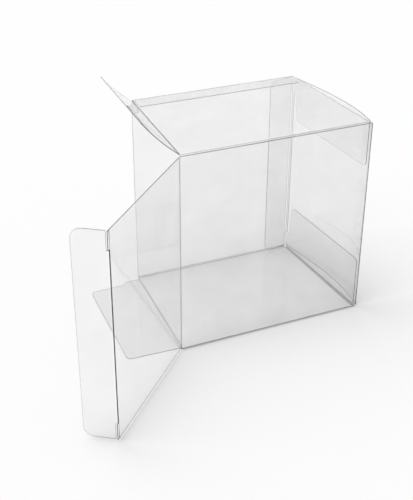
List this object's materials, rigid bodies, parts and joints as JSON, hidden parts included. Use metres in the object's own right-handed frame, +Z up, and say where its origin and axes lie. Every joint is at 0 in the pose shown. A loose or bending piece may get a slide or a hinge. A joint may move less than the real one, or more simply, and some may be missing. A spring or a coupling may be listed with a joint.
{
  "type": "game box protector",
  "caption": "Clear folding sleeve that protects a game box: open at one end, with hinged closures, tuck flaps and dust flaps.",
  "frame": {"origin": "centre of the sleeve's underside, on the surface that it lies on", "axes": "+X along the sleeve towards its closed end, +Y from the front wall to the back wall, +Z up"},
  "size_m": [0.2354, 0.1772, 0.172],
  "materials": {
    "sleeve_plastic": "clear, glossy",
    "left_closure_plastic": "clear, glossy",
    "left_tuck_plastic": "clear, glossy",
    "left_top_dust_plastic": "clear, glossy",
    "left_bottom_dust_plastic": "clear, glossy",
    "right_closure_plastic": "clear, glossy"
  },
  "bodies": {
    "sleeve_body": {"sleeve": "sleeve_plastic"},
    "left_closure": {"left_closure_panel": "left_closure_plastic"},
    "left_tuck": {"left_tuck_flap": "left_tuck_plastic"},
    "left_top_dust": {"left_top_dust_flap": "left_top_dust_plastic"},
    "left_bottom_dust": {"left_bottom_dust_flap": "left_bottom_dust_plastic"},
    "right_closure": {"right_closure_panel": "right_closure_plastic"}
  },
  "joints": [
    {"name": "left_closure_hinge", "type": "hinge", "parent": "sleeve_body", "child": "left_closure", "pos_m": [-0.07075, -0.0515, 0.074], "axis": [0, 0, 1], "range_deg": [-135.6, 64.4]},
    {"name": "left_tuck_fold", "type": "hinge", "parent": "left_closure", "child": "left_tuck", "pos_m": [-0.14226, -0.12452, 0.074], "axis": [0, 0, 1], "range_deg": [-18.6, 8.9]},
    {"name": "left_top_dust_hinge", "type": "hinge", "parent": "sleeve_body", "child": "left_top_dust", "pos_m": [-0.06985, -0.04945, 0.14775], "axis": [0.0454, 0.999, 0], "range_deg": [-135, 65]},
    {"name": "left_bottom_dust_hinge", "type": "hinge", "parent": "sleeve_body", "child": "left_bottom_dust", "pos_m": [-0.06985, -0.04945, 0.00025], "axis": [0.0454, 0.999, 0], "range_deg": [0, 90]},
    {"name": "right_closure_hinge", "type": "hinge", "parent": "sleeve_body", "child": "right_closure", "pos_m": [0.07075, -0.0515, 0.074], "axis": [0, 0, -1], "range_deg": [0, 180]}
  ],
  "couplings": [
    {"joint": "left_tuck_fold", "follows": "left_closure_hinge", "ratio": 0.1364}
  ]
}
